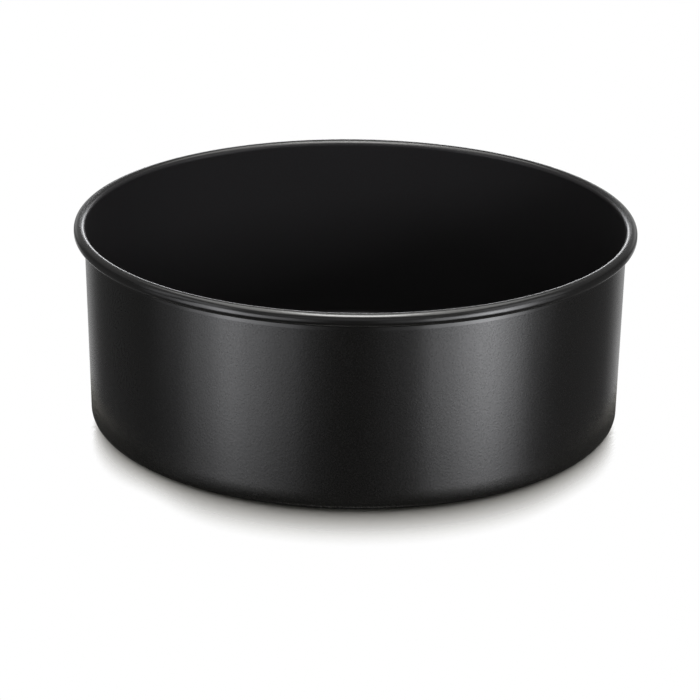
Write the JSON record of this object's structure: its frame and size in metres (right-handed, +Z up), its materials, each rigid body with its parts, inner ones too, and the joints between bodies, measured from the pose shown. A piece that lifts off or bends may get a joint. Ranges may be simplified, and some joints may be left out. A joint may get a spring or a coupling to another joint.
{
  "type": "deep round cake tin",
  "caption": "Deep round cake tin of thin sheet steel with a flat base, near-upright wall, a rim rolled over a wire, and a black non-stick coating inside and out.",
  "frame": {"origin": "on the surface the tin stands on, under the middle of the base", "axes": "+Z up along the tin's axis towards the rim; the wire's butt gap is at +Y, the back"},
  "size_m": [0.2118, 0.2118, 0.076],
  "materials": {
    "nonstick_coated_steel": "satin black non-stick coating with a fine orange peel",
    "bare_wire": "drawn bright steel wire"
  },
  "bodies": {
    "root": {"pan_shell": "nonstick_coated_steel", "rim_wire": "bare_wire"}
  },
  "joints": []
}
